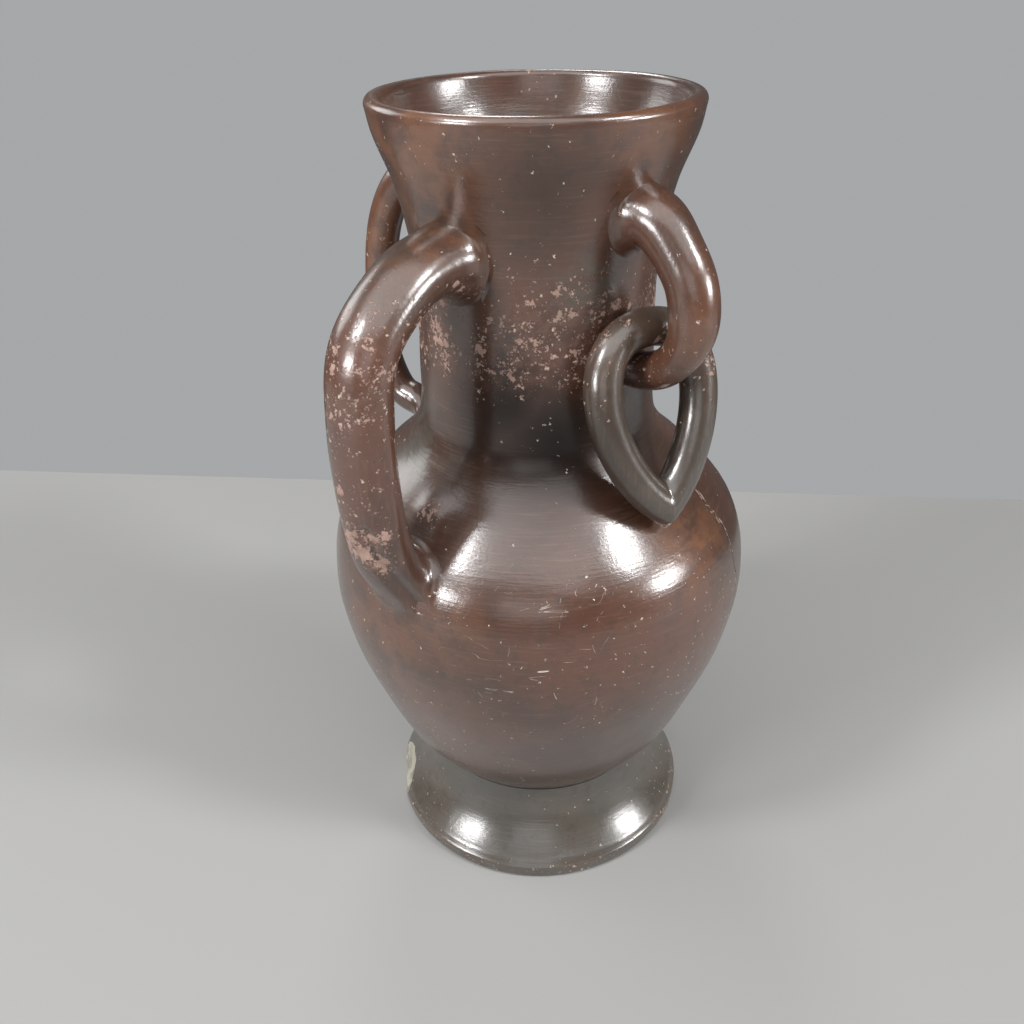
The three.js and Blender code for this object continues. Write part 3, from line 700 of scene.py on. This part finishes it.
rear_loop = roll_clay_bar("rear_loop_clay", REAR_LOOP_AZIMUTH, far_line, 24, far_loop_size,
                          leans=(0, -35))
smear_onto_wall(rear_loop)
loop_clay = burnished_clay("loop_clay", *WALL_BROWN, roughness=0.37, flaking=0.6, dust=0.08,
                           strokes_way=ALONG_A_BAR)
for loop, node in ((link_loop, "link_loop"), (rear_loop, "rear_loop")):
    loop.data.materials.append(loop_clay)
    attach(loop, "vessel")
    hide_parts(node)

# The link: a round rod of clay bent to a teardrop through the eye of the near loop and pinched
# shut at its point before firing, so it hangs loose and can be swung but not taken off.
LINK_LENGTH = 0.0605
LINK_HALF_WIDTH = 0.0188
LINK_ROD_RADIUS = 0.0065
LINK_LEAN = 15
LINK_TURN = 339
link_pivot = Vector(frame["joints"][0]["pos_m"])

# One limb follows a curve pulled by four points and runs on past the point of the link, where the
# mirror cuts it at the middle and joins it to the other limb.
pull = [Vector((0, 0)), Vector((1.5 * LINK_HALF_WIDTH, 0)),
        Vector((1.16 * LINK_HALF_WIDTH, -0.7 * LINK_LENGTH)), Vector((0, -LINK_LENGTH))]
limb = []
limb_steps = 12
for i in range(limb_steps + 1):
    t = i / limb_steps
    limb.append(pull[0] * (1 - t) ** 3 + pull[1] * 3 * t * (1 - t) ** 2
                + pull[2] * 3 * t**2 * (1 - t) + pull[3] * t**3)
past_the_point = 0.012
limb.append(limb[-1] + (pull[3] - pull[2]).normalized() * past_the_point)
link = roll_clay_bar("teardrop_link_clay", 0, limb, 22,
                     lambda low, high: (LINK_ROD_RADIUS, LINK_ROD_RADIUS), fillets=(False, False), sides=16)
halve = link.modifiers.new("two_limbs", "MIRROR")
halve.use_bisect_axis[0] = True
halve.use_clip = True
halve.merge_threshold = 0.0002
bpy.ops.object.modifier_apply(modifier=halve.name)
round_over = link.modifiers.new("round_over", "SUBSURF")
round_over.levels = round_over.render_levels = 2
bpy.ops.object.modifier_apply(modifier=round_over.name)
link.rotation_euler = (-math.radians(LINK_LEAN), 0, math.radians(LINK_TURN))
link.location = link_pivot
bpy.ops.object.transform_apply(location=True, rotation=True, scale=True)
bpy.ops.object.shade_smooth()
LINK_BROWN = ((0.046, 0.036, 0.028), (0.074, 0.050, 0.036))
link_clay = burnished_clay("link_clay", *LINK_BROWN, roughness=0.35, flaking=0.6, dust=0.09,
                           strokes_way=ALONG_A_BAR)
link.data.materials.append(link_clay)
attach(link, "link")
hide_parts("teardrop_link")

# Camera, floor and light of a plain studio. The camera stands where the photograph was taken.
camera = bpy.data.objects.new("camera", bpy.data.cameras.new("camera"))
bpy.context.scene.collection.objects.link(camera)
camera.location = (-0.2528, -0.20596, 0.34122)
camera.rotation_euler = [math.radians(a) for a in (58.5683, 1.0473, -49.706)]
camera.data.lens, camera.data.sensor_width = 33.4, 36
camera.data.clip_start = 0.01
bpy.context.scene.camera = camera

bpy.ops.object.select_all(action="DESELECT")
bpy.ops.mesh.primitive_plane_add(size=1)
table = bpy.context.object
table.name = "table_top"
TABLE_WIDTH, TABLE_DEPTH = 2.6, 1.6
table.scale = (TABLE_WIDTH, TABLE_DEPTH, 1)
edge_turn = math.radians(-54.9)
table.rotation_euler = (0, 0, edge_turn)
back = Vector((-math.sin(edge_turn), math.cos(edge_turn), 0))
back_edge = Vector((0.1976, 0.1841, -0.0002))
table.location = back_edge - back * TABLE_DEPTH / 2
table_paint = bpy.data.materials.new("pale_table")
table_paint.use_nodes = True
table_shader = table_paint.node_tree.nodes["Principled BSDF"]
table_shader.inputs["Base Color"].default_value = (0.300, 0.298, 0.291, 1)
table_shader.inputs["Roughness"].default_value = 0.65
table_shader.inputs["Specular IOR Level"].default_value = 0.12
table.data.materials.append(table_paint)

world = bpy.data.worlds.new("studio")
bpy.context.scene.world = world
world.use_nodes = True
sky = world.node_tree
seen = add_node(sky, "ShaderNodeLightPath").outputs["Is Camera Ray"]
ROOM_LIGHT, BACKDROP_GREY = (0.09, 0.09, 0.09), (0.38, 0.39, 0.40)
sky.links.new(blend_colour(sky, seen, ROOM_LIGHT, BACKDROP_GREY), sky.nodes["Background"].inputs[0])


def hang_lamp(name, azimuth, elevation, distance, width, tall, power):
    """Softbox that faces the jug from a direction in degrees, measured from +X, with its distance
    and size in metres and its power in watts."""
    lamp = bpy.data.objects.new(name, bpy.data.lights.new(name, "AREA"))
    bpy.context.scene.collection.objects.link(lamp)
    lamp.data.shape = "RECTANGLE"
    lamp.data.size, lamp.data.size_y, lamp.data.energy = width, tall, power
    a, e = math.radians(azimuth), math.radians(elevation)
    out = Vector((math.cos(a) * math.cos(e), math.sin(a) * math.cos(e), math.sin(e)))
    lamp.location = Vector((0, 0, 0.15)) + out * distance
    lamp.rotation_euler = out.to_track_quat("Z", "Y").to_euler()


hang_lamp("left_softbox", 162, 43, 1.3, 0.20, 0.20, 8)
hang_lamp("right_softbox", 281, 41, 1.3, 0.20, 0.20, 8)
hang_lamp("left_low_softbox", 166, 16, 1.5, 0.42, 0.28, 10)
hang_lamp("right_low_softbox", 290, 15, 1.5, 0.4, 0.3, 11)
hang_lamp("back_softbox", 98, 24, 1.6, 0.8, 0.6, 5)
hang_lamp("back_high_softbox", 50, 48, 1.5, 0.4, 0.4, 5)
hang_lamp("front_low_softbox", 215, 18, 1.6, 0.9, 0.7, 2)
hang_lamp("top_softbox", 200, 66, 2.0, 3.2, 1.8, 31)

view = bpy.context.scene.view_settings
view.view_transform = "Standard"
